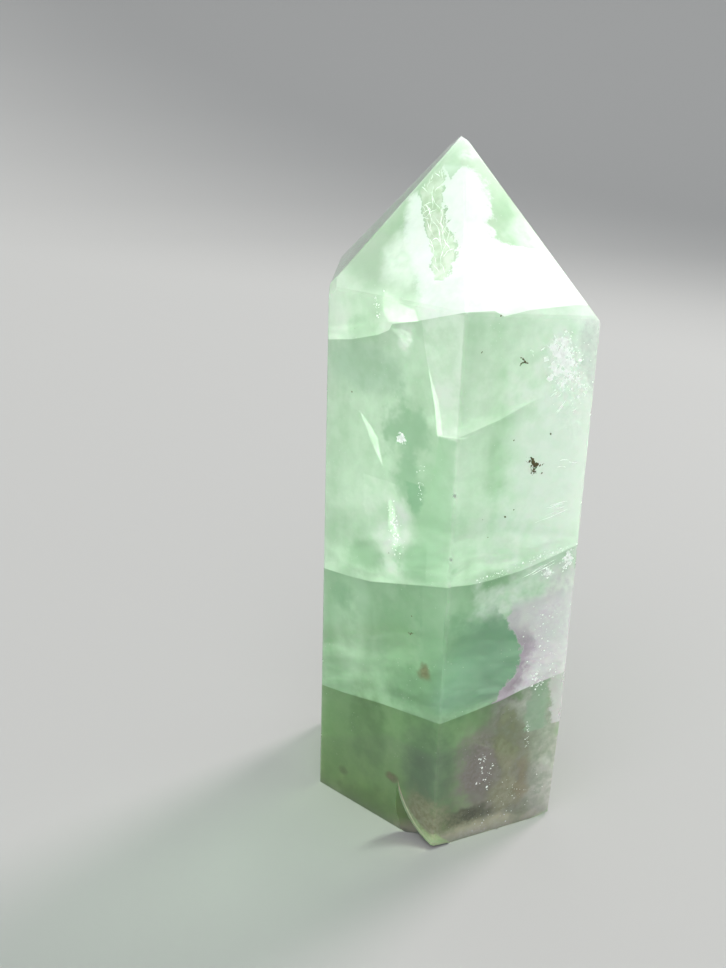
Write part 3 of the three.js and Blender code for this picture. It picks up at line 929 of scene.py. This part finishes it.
def makeFluorite(name, finish):
    material, tree, shader = newMaterial(name)
    surface = tree.nodes["Material Output"]
    colour = useGroup(tree, fluoriteColour, {})["Color"]
    ground = useGroup(tree, grinding, {"Stroke": finish["stroke"], "Wave": finish["wave"]})
    dulled = maths(tree, "MULTIPLY", ground["Smudge"], finish["smudge"])
    roughness = maths(tree, "ADD", dulled, finish["roughness"])
    bump = fill(tree, addNode(tree, "ShaderNodeBump"), {
        "Strength": fluorite["bump"], "Distance": millimetre, "Height": ground["Height"]})
    fill(tree, shader, {
        "Base Color": colour, "Roughness": roughness, "Normal": bump["Normal"],
        "IOR": fluorite["ior"], "Specular IOR Level": fluorite["specular"],
        "Transmission Weight": finish["clearness"],
        "Subsurface Weight": 1, "Subsurface Radius": fluorite["milk"]["radius"],
        "Subsurface Scale": fluorite["milk"]["scale"],
        "Coat Weight": finish["polish"], "Coat Roughness": fluorite["coatRoughness"],
        "Coat IOR": fluorite["ior"]})
    absorption = fill(tree, addNode(tree, "ShaderNodeVolumeAbsorption"), fluorite["absorption"])
    feed(tree, absorption[0], surface.inputs["Volume"])
    # Seen from within, the far faces are plainer
    farTone = useGroup(tree, fluoriteTone, {})["Color"]
    farGlass = fill(tree, addNode(tree, "ShaderNodeBsdfGlass"), {
        "Color": farTone, "IOR": fluorite["ior"], "Roughness": finish["roughness"]})
    farMist = fill(tree, addNode(tree, "ShaderNodeBsdfDiffuse"), {"Color": farTone})
    within = mixShaders(tree, 1 - finish["clearness"], farGlass[0], farMist[0])
    backfacing = addNode(tree, "ShaderNodeNewGeometry").outputs["Backfacing"]
    facing = mixShaders(tree, backfacing, shader.outputs[0], within)
    # Lamps shine into the stone, through a tinted stand-in for their rays alone
    shadowRay = addNode(tree, "ShaderNodeLightPath").outputs["Is Shadow Ray"]
    window = fill(tree, addNode(tree, "ShaderNodeBsdfTransparent"), {"Color": fluorite["lampTint"]})
    feed(tree, mixShaders(tree, shadowRay, facing, window[0]), surface.inputs["Surface"])
    return material


polished = makeFluorite("polishedFluorite", fluorite["polished"])
broken = makeFluorite("brokenFluorite", fluorite["broken"])
tower = groundTower([polished, broken])
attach(tower, "root")
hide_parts("fluorite_tower")
print("stone:", len(tower.data.polygons), "faces")


# Fogged surfaces inside the stone, such as cracks and flakes. Dense where its clouds lie, thin
# between them, and always denser to a glancing eye.
mists = {
    "crackMist": {"tone": (0.86, 0.92, 0.85, 1), "roughness": 0.25, "glance": 0.12,
                  "patches": {"Grain": 5, "Thin": 0.02, "Dense": 0.24}},
    # white frost on the faces, and the flecks that are painted glints
    "frostAndPaintedGlints": {"tone": (0.95, 1, 0.95, 1), "roughness": 0.4, "glance": 0,
                     "patches": {"Grain": 0.8, "Thin": 0.5, "Dense": 1}},
    "flakeMist": {"tone": (0.95, 0.99, 0.94, 1), "roughness": 0.3, "glance": 0.2,
                  "patches": {"Grain": 1.2, "Thin": 0.6, "Dense": 1}},
}


def makeMistiness():
    tree, given, out = newGroup(
        "mistiness",
        [("Grain", "NodeSocketFloat"), ("Thin", "NodeSocketFloat"), ("Dense", "NodeSocketFloat")],
        [("Mask", "NodeSocketFloat")])
    scaled = fill(tree, addNode(tree, "ShaderNodeVectorMath", operation="SCALE"), {
        "Vector": stonePoint(tree), "Scale": maths(tree, "DIVIDE", 1, given["Grain"])})["Vector"]
    wisp = easeBetween(tree, cloudAt(tree, scaled, 1, detail=4, roughness=0.6), 0.36, 0.66)
    span = maths(tree, "SUBTRACT", given["Dense"], given["Thin"])
    feed(tree, maths(tree, "ADD", given["Thin"], maths(tree, "MULTIPLY", wisp, span)), out["Mask"])
    return tree


mistiness = makeMistiness()


def makeMist(name, look):
    material, tree, shader = newMaterial(name)
    mask = useGroup(tree, mistiness, look["patches"])["Mask"]
    glance = fill(tree, addNode(tree, "ShaderNodeLayerWeight"), {"Blend": 0.5})["Facing"]
    denser = maths(tree, "MULTIPLY", glance, look["glance"])
    fill(tree, shader, {"Base Color": look["tone"], "Roughness": look["roughness"],
                        "Alpha": maths(tree, "ADD", mask, denser, clamp=True)})
    return material


crackMist, frostAndPaintedGlints, flakeMist = (makeMist(name, look) for name, look in mists.items())


def frontDepth(point):
    return min((foot - point).dot(normal) for foot, normal in map(sidePlane, frontFaces))


def crackHeight(crack, x, y):
    height = lineAt(crack["trace"], x)
    return height - crack["fall"] * frontDepth(Vector((x, y, height)))


# Cuts a sheet off a little inside the stone's faces
def trimInside(bm, inset):
    for point, normal in [*facePlanes(), lowerRightFlat(), levelPlane(0, -1)]:
        cutAway(bm, point - normal * inset, normal)


# Finishes a piece that lies in the stone or on it
def layIn(bm, name, material, smooth=False):
    piece = finishPiece(bm, name, [material], smooth)
    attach(piece, "root")


# Each crack as a wavy sheet right through the stone, or for the wedge, as far in as it reaches.
# calm: how far under the front faces its waves begin. tear: how ragged the wedge's ends are.
sheets = {"cells": 110, "half": 18, "inset": 0.1, "swell": 0.55, "grain": 6, "calm": 4,
          "fractal": (0.9, 2.1, 4), "apart": 31, "tear": {"grain": 3, "inward": 4, "across": 3}}


def crackSheet(name, number):
    crack, tear = cracks[name], sheets["tear"]
    bm = bmesh.new()
    bmesh.ops.create_grid(bm, x_segments=sheets["cells"], y_segments=sheets["cells"], size=sheets["half"])
    for vert in bm.verts:
        x, y, flat = vert.co
        height = crackHeight(crack, x, y)
        calm = min(1, max(0, frontDepth(Vector((x, y, height)))) / sheets["calm"])
        spot = Vector((x, y, number * sheets["apart"])) / sheets["grain"]
        vert.co.z = height + noise.fractal(spot, *sheets["fractal"]) * sheets["swell"] * calm
    trimInside(bm, sheets["inset"])
    if "reach" in crack:
        torn = []
        for face in bm.faces:
            middle = face.calc_center_median()
            rough = noise.noise(middle / tear["grain"])
            within = crack["from"] <= middle.x <= crack["to"] + tear["across"] * rough
            if not within or frontDepth(middle) > crack["reach"] + tear["inward"] * rough:
                torn.append(face)
        bmesh.ops.delete(bm, geom=torn, context="FACES")
    layIn(bm, name, crackMist, smooth=True)


for number, name in enumerate(cracks, start=1):
    crackSheet(name, number)
print("cracks laid in:", len(cracks))


# The point of a plane at an x and a height, and so deep under it
def underPlane(plane, x, height, depth):
    foot, normal = plane
    y = (foot.dot(normal) - normal.x * x - normal.z * height) / normal.y
    return Vector((x, y, height)) - normal * depth


# Single bright flakes. corners: x, height and depth under the face that they are seen through.
flakes = {
    "shoulderFlake": ("frontLeft", [(-8.5, 69.2, 0.4), (-8.3, 67, 0.3), (-7.5, 65.9, 0.3),
                                    (-4.2, 66.6, 0.3), (-5.2, 67.6, 1.6), (-7, 68, 1.4)]),
    "flakeTail": ("frontLeft", [(-7.1, 65.2, 0.12), (-6.2, 65.5, 0.12), (-5, 65.2, 0.15),
                                (-4.7, 64.4, 0.2), (-5.4, 63.5, 0.2)]),
    "needleFlake": ("frontLeft", [(-10.8, 55, 0.12), (-9.9, 53.2, 0.12), (-8.9, 51, 0.12),
                                  (-7.7, 49.1, 0.12), (-8.3, 50.8, 0.5), (-8.7, 52.4, 0.7),
                                  (-9.5, 53.4, 0.5)]),
    "wedgeEdge": ("frontLeft", [(-2.75, 61.8, 0.12), (-2.4, 60.2, 0.12), (-1.9, 58, 0.12),
                                (-1.4, 54.7, 0.12), (-1.1, 54.7, 0.8), (-1.6, 58, 0.8),
                                (-2.25, 60.3, 0.4), (-2.7, 61.8, 0.2)]),
    "wedgeFloor": ("frontLeft", [(-1.4, 54.6, 0.2), (0.8, 54.9, 0.2), (2, 54.9, 3), (0.3, 54.4, 3.4)]),
    "glowFlake": ("frontLeft", [(-7.4, 44.6, 1.5), (-6.9, 45.2, 1.2), (-6.2, 43.6, 1),
                                (-6.4, 42.4, 1.1), (-5.7, 41.4, 1.2), (-5.9, 39.4, 1.5),
                                (-6.6, 38.9, 1.7), (-6.9, 40.6, 1.8), (-7.5, 41.7, 1.8),
                                (-7.2, 43.2, 1.6)]),
    "paleStep": ("frontLeft", [(-7, 48.6, 0.6), (-5.6, 48.5, 0.3), (-3.9, 48.4, 0.4),
                               (-3.7, 46.6, 1), (-4.6, 47, 2)]),
}
crumple = {"grain": 0.9, "depth": 0.09}


def brightFlake(name, face, corners):
    bm = bmesh.new()
    outline = [bm.verts.new(underPlane(sidePlane(face), *place)) for place in corners]
    bmesh.ops.contextual_create(bm, geom=outline)
    bmesh.ops.triangulate(bm, faces=bm.faces[:])
    bmesh.ops.subdivide_edges(bm, edges=bm.edges[:], cuts=3, use_grid_fill=True)
    for vert in bm.verts:
        vert.co += noise.noise_vector(vert.co / crumple["grain"]) * crumple["depth"]
    layIn(bm, name, flakeMist, smooth=True)


for name, flake in flakes.items():
    brightFlake(name, *flake)

# Swarms of tiny flakes, as on snowy cleavage, each with its face, start, end, depth, spread, count
# and sizes. The swarms named glints are white flecks on the face: painted glints. A swarm lies
# along a line from start to end, in x and height on the face, at a depth under it, or on the face
# itself where the depth is 0. spread: how far its flakes stray in x, height and depth.
swarms = {
    "snowSwarm": ("frontRight", (12.7, 64.4), (13.1, 60.4), 0.9, (1.3, 1.6, 0.8), 60, (0.1, 0.6)),
    "snowTrail": ("frontRight", (13.2, 59.5), (13.6, 55.5), 1.2, (0.9, 1, 0.9), 90, (0.1, 0.5)),
    "snowCrust": ("frontRight", (11.1, 64.6), (12, 60.6), 0, (0.7, 0.7, 0), 260, (0.15, 1.1)),
    "snowCrumbs": ("frontRight", (12.6, 60.6), (14.6, 58.6), 0, (0.4, 0.4, 0), 60, (0.08, 0.5)),
    "glowFrost": ("frontLeft", (-6.5, 44.6), (-5.5, 39.4), 0, (0.35, 0.4, 0), 90, (0.06, 0.5)),
    "snowGlints": ("frontRight", (12.4, 65), (14, 57), 0, (1, 1, 0), 60, (0.08, 0.36)),
    "rightGlints": ("frontRight", (13, 32), (12.6, 21), 0, (1.2, 1, 0), 110, (0.06, 0.34)),
    "crackFrost": ("frontRight", (4.4, 37.3), (14.6, 39.7), 0, (0.6, 0.22, 0), 130, (0.06, 0.3)),
    "mauveGlints": ("frontRight", (11.6, 22.4), (12.6, 21.4), 0, (0.25, 0.3, 0), 26, (0.14, 0.6)),
    "footGlints": ("frontRight", (6.4, 12.4), (6.9, 8), 0, (0.5, 0.6, 0), 50, (0.06, 0.4)),
    "paleGlints": ("frontRight", (11.7, 16), (11.8, 12), 0, (0.15, 0.3, 0), 24, (0.08, 0.4)),
    "baseGlints": ("frontRight", (6, 2), (13.6, 7), 0, (1.6, 1.4, 0), 90, (0.05, 0.22)),
    "leftGlints": ("frontLeft", (-6.4, 44), (-5, 38.5), 0, (0.5, 0.5, 0), 40, (0.05, 0.26)),
    "columnGlints": ("frontLeft", (-3.1, 50.5), (-2.9, 46.6), 0, (0.25, 0.3, 0), 34, (0.06, 0.26)),
    "whiteDot": ("frontLeft", (-5.6, 53.1), (-5.4, 53.2), 0, (0.22, 0.26, 0), 60, (0.25, 0.7)),
    "shoulderGlints": ("frontLeft", (-9.1, 68.4), (-8.7, 66.2), 0, (0.2, 0.3, 0), 30, (0.06, 0.3)),
    "lowFrost": ("frontRight", (11.9, 36.6), (12.5, 36.9), 0, (0.25, 0.3, 0), 60, (0.1, 0.6)),
    "edgeFrost": ("frontRight", (14.3, 37.2), (15, 38.6), 0, (0.3, 0.3, 0), 90, (0.1, 0.7)),
}

# One flake of a swarm. lean: how far it tips where it lies under a face. squash: its width as a share
# of its length. overhang: how far the flakes on a face may stand past the next one.
swarmFlake = {"lean": 0.6, "squash": (0.3, 0.9), "corners": (3, 4, 5), "overhang": 0.05}
proud = 0.008  # how far what lies on a face stands off it


def flakeSwarm(name, face, start, end, depth, spread, count, sizes):
    draw = random.Random(name)
    plane = sidePlane(face)
    bm = bmesh.new()
    for number in range(count):
        way = draw.random()
        x, height = (first + (last - first) * way + draw.gauss(0, stray)
                     for first, last, stray in zip(start, end, spread))
        below = max(sheets["inset"], abs(draw.gauss(depth, spread[2])))
        place = underPlane(plane, x, height, below if depth else -proud * draw.uniform(1, 2))
        size = sizes[0] + (sizes[1] - sizes[0]) * draw.random() ** 2
        lean = Vector([draw.gauss(0, swarmFlake["lean"]) for axis in range(3)]) if depth else Vector()
        turn = (plane[1] + lean).to_track_quat("Z", "Y").to_matrix().to_4x4()
        spin = Matrix.Rotation(draw.uniform(0, math.tau), 4, "Z")
        shape = Matrix.Diagonal((1, draw.uniform(*swarmFlake["squash"]), 1, 1))
        bmesh.ops.create_circle(bm, cap_ends=True, radius=size / 2,
                                segments=draw.choice(swarmFlake["corners"]),
                                matrix=Matrix.Translation(place) @ turn @ spin @ shape)
    trimInside(bm, sheets["inset"] if depth else -swarmFlake["overhang"])
    layIn(bm, name, flakeMist if depth else frostAndPaintedGlints)


for name, swarm in swarms.items():
    flakeSwarm(name, *swarm)
print("flakes and swarms:", len(flakes) + len(swarms))

# Dark mineral grains: sprays that branch out from a middle, each with its face, middle, count, spread
# and sizes, and single dots. arm: how many grains each branch of a spray has.
grains = {
    "branchSpray": ("frontRight", (9.5, 51), 44, 0.7, (0.16, 0.5)),
    "upperSpray": ("frontRight", (7.4, 62.9), 16, 0.42, (0.14, 0.36)),
    "slantDash": ("frontLeft", (-3.16, 29.4), 7, 0.34, (0.12, 0.3)),
}
dots = {
    "frontRight": [(2.85, 64.3), (4.54, 68), (6.96, 54), (4.93, 42.7), (6.67, 44.9), (8.44, 17.9),
                   (11, 54.2), (7.6, 45.6), (10.4, 49.6), (4.2, 45)],
    "frontLeft": [(-3.3, 31.6), (-11.8, 57), (-11.6, 64.4), (-6.5, 38.6)],
}
grainShape = {"width": (0.6, 1.3), "height": 0.35, "depth": 0.01, "dot": (0.16, 0.3),
              "lumps": {"closeness": 4, "depth": 0.12}}
branching = {"arm": 6, "turn": 0.5, "stride": (0.2, 0.45), "taper": 0.6}


def makeMineral():
    material, tree, shader = newMaterial("darkMineral")
    patches = cloudAt(tree, stonePoint(tree), 0.25)
    tone = mixColours(tree, patches, (0.02, 0.02, 0.006, 1), (0.12, 0.1, 0.03, 1))
    fill(tree, shader, {"Base Color": tone, "Roughness": 0.6})
    return material


darkMineral = makeMineral()


def addGrain(bm, draw, face, x, height, size):
    place = underPlane(sidePlane(face), x, height, grainShape["depth"])
    turn = Vector((0, 0, 1)).rotation_difference(sidePlane(face)[1]).to_matrix().to_4x4()
    width = grainShape["width"]
    shape = Matrix.Diagonal((draw.uniform(*width), draw.uniform(*width), grainShape["height"], 1))
    made = bmesh.ops.create_icosphere(bm, subdivisions=1, radius=size / 2,
                                      matrix=Matrix.Translation(place) @ turn @ shape)
    lumps = grainShape["lumps"]
    for vert in made["verts"]:
        vert.co += noise.noise_vector(vert.co * lumps["closeness"]) * size * lumps["depth"]


def mineralGrains():
    draw = random.Random(11)
    bm = bmesh.new()
    for face, middle, count, spread, sizes in grains.values():
        spot, aim = Vector(middle), draw.uniform(0, math.tau)
        for number in range(count):
            out = number % branching["arm"]
            if out == 0:
                spot, aim = Vector(middle), draw.uniform(0, math.tau)
            aim += draw.gauss(0, branching["turn"])
            spot += Vector((math.cos(aim), math.sin(aim))) * spread * draw.uniform(*branching["stride"])
            fade = 1 - branching["taper"] * out / branching["arm"]
            addGrain(bm, draw, face, spot.x, spot.y, draw.uniform(*sizes) * fade)
    for face, places in dots.items():
        for x, height in places:
            addGrain(bm, draw, face, x, height, draw.uniform(*grainShape["dot"]))
    layIn(bm, "mineralGrains", darkMineral)


mineralGrains()

# Fine white fibres in the clear window of the front left tip facet, each a narrow ribbon. across:
# where they start between the window's borders. turns: the ways that they lean off their aim, in
# radians. sway: how they bend at each step.
threads = {"count": 44, "zone": "fibreWindow", "heights": (71, 81.2), "across": (0.1, 0.9),
           "length": (0.8, 3.4), "widths": (0.025, 0.06), "step": 0.15, "aim": (-0.3, 1),
           "turns": (0, 0, 0.5, -0.6, 1.1), "sway": 0.2}
blunt = 0.2  # how wide a ribbon's ends are, as a share of its width


# Lays a flat ribbon through places on a plane, narrow at both ends
def layRibbon(bm, plane, places, width):
    places = [Vector(place) for place in places]
    previous = None
    for number, place in enumerate(places):
        before, after = places[max(0, number - 1)], places[min(len(places) - 1, number + 1)]
        if before == after:
            return
        aim = (after - before).normalized()
        half = width / 2 * (blunt + (1 - blunt) * math.sin(math.pi * number / (len(places) - 1)))
        ends = [bm.verts.new(underPlane(plane, place.x - aim.y * way, place.y + aim.x * way, -proud))
                for way in (-half, half)]
        if previous:
            bm.faces.new((previous[0], previous[1], ends[1], ends[0]))
        previous = ends


def fineThreads():
    draw = random.Random(23)
    left, right = (zones[threads["zone"]][side] for side in ("left", "right"))
    low, high = threads["heights"]
    bm = bmesh.new()
    for number in range(threads["count"]):
        height = draw.uniform(low, high)
        x = lineAt(left, height)
        x += (lineAt(right, height) - x) * draw.uniform(*threads["across"])
        aim = Matrix.Rotation(draw.choice(threads["turns"]), 2) @ Vector(threads["aim"]).normalized()
        width = draw.uniform(*threads["widths"])
        places = []
        for step in range(int(draw.uniform(*threads["length"]) / threads["step"])):
            aim = Matrix.Rotation(draw.gauss(0, threads["sway"]), 2) @ aim
            places.append((x, height))
            x += aim.x * threads["step"]
            height += aim.y * threads["step"]
            if not (lineAt(left, height) < x < lineAt(right, height) and low < height < high):
                break
        layRibbon(bm, tipPlane("frontLeft"), places, width)
    layIn(bm, "fineThreads", frostAndPaintedGlints)


fineThreads()

# Short bright cleavage lines that reach the front right face, a few side by side at each place, and
# each of them only a part of the way. stray: how far they lie off it. bend: how they waver.
wisps = {
    "count": 3, "stray": 0.32, "bend": 0.16 / 3, "steps": 8, "starts": 4, "lengths": (3, 6),
    "width": 0.11, "widths": (0.4, 1.3),
    "lines": [((11.5, 45.25), (14.7, 45.6)), ((10.2, 43.5), (15, 44.8)), ((11, 58.3), (12.2, 59.2)),
              ((11.4, 56.4), (12.8, 58)), ((13.2, 57), (14.2, 57.7)), ((12.2, 50.6), (15, 50.1)),
              ((9, 36.7), (13.4, 38.4)), ((8.2, 63.6), (7.6, 64.4))],
}


def brightWisps():
    draw = random.Random(41)
    bm = bmesh.new()
    for start, end in wisps["lines"]:
        way = [Vector(start).lerp(Vector(end), step / wisps["steps"]) for step in range(wisps["steps"] + 1)]
        for number in range(wisps["count"]):
            shift = Vector([draw.gauss(0, wisps["stray"]) for axis in range(2)])
            first = draw.randrange(wisps["starts"])
            places = [place + shift + Vector((0, draw.gauss(0, wisps["bend"])))
                      for place in way[first:first + draw.randint(*wisps["lengths"])]]
            width = wisps["width"] * draw.uniform(*wisps["widths"])
            layRibbon(bm, sidePlane("frontRight"), places, width)
    layIn(bm, "brightWisps", frostAndPaintedGlints)


brightWisps()
print("grains, threads and wisps laid in")


# The camera, a little above the stone and a hand's length in front of it
view = {
    "place": (4.29, -117.67, 90.71),
    "heading": 7.567,
    "downward": 22.2,
    "roll": 1.346,
    "lens": 37.19,
    "sensor": 36,
}


def placeCamera():
    data = bpy.data.cameras.new("camera")
    data.lens = view["lens"]
    data.sensor_width = view["sensor"]
    data.clip_start = 0.01
    camera = bpy.data.objects.new("camera", data)
    bpy.context.scene.collection.objects.link(camera)
    turn = Matrix.Rotation(math.radians(view["heading"]), 4, "Z")
    tilt = Matrix.Rotation(math.radians(90 - view["downward"]), 4, "X")
    roll = Matrix.Rotation(math.radians(view["roll"]), 4, "Z")
    place = Matrix.Translation(Vector(view["place"]) * millimetre)
    camera.matrix_world = place @ turn @ tilt @ roll
    bpy.context.scene.camera = camera


# The studio: a pale floor that sweeps up to a wall all round, a soft sun from behind on the right
# and one from the front on the left. from: the side that the light comes from, and how high.
room = {
    "floorTone": (0.2, 0.2, 0.195, 1),
    "floorRoughness": 0.85,
    "floorRadius": 900,
    "sweep": 500,
    "sweepSteps": 12,
    "key": {"from": (50, 44), "softness": 14, "strength": 6, "tone": (1, 0.99, 0.96)},
    "fill": {"from": (262, 50), "softness": 60, "strength": 2.6, "tone": (0.96, 0.98, 1)},
    "sky": {"Color": (0.93, 0.96, 1, 1), "Strength": 1},
}


def softSun(name, settings):
    data = bpy.data.lights.new(name, "SUN")
    data.energy = settings["strength"]
    data.color = settings["tone"]
    data.angle = math.radians(settings["softness"])
    sun = bpy.data.objects.new(name, data)
    bpy.context.scene.collection.objects.link(sun)
    sun.rotation_euler = direction(*settings["from"]).to_track_quat("Z", "Y").to_euler()


def studio():
    material, tree, shader = newMaterial("paleFloor")
    fill(tree, shader, {"Base Color": room["floorTone"], "Roughness": room["floorRoughness"]})
    bm = bmesh.new()
    flat = room["floorRadius"] - room["sweep"]
    bmesh.ops.create_circle(bm, cap_ends=True, radius=flat, segments=96)
    ring = [edge for edge in bm.edges if edge.is_boundary]
    for step in range(1, room["sweepSteps"] + 1):
        grown = bmesh.ops.extrude_edge_only(bm, edges=ring)["geom"]
        ring = [item for item in grown if isinstance(item, bmesh.types.BMEdge)]
        turn = math.radians(90) * step / room["sweepSteps"]
        radius = flat + room["sweep"] * math.sin(turn)
        for vert in (item for item in grown if isinstance(item, bmesh.types.BMVert)):
            vert.co.xy = vert.co.xy.normalized() * radius
            vert.co.z = room["sweep"] * (1 - math.cos(turn))
    floor = finishPiece(bm, "floor", [material], smooth=True)
    softSun("key", room["key"])
    softSun("fill", room["fill"])
    world = bpy.data.worlds.new("studio")
    bpy.context.scene.world = world
    world.use_nodes = True
    fill(world.node_tree, world.node_tree.nodes["Background"], room["sky"])
    bpy.context.scene.view_settings.view_transform = "Standard"


placeCamera()
studio()
print("camera and lights placed")
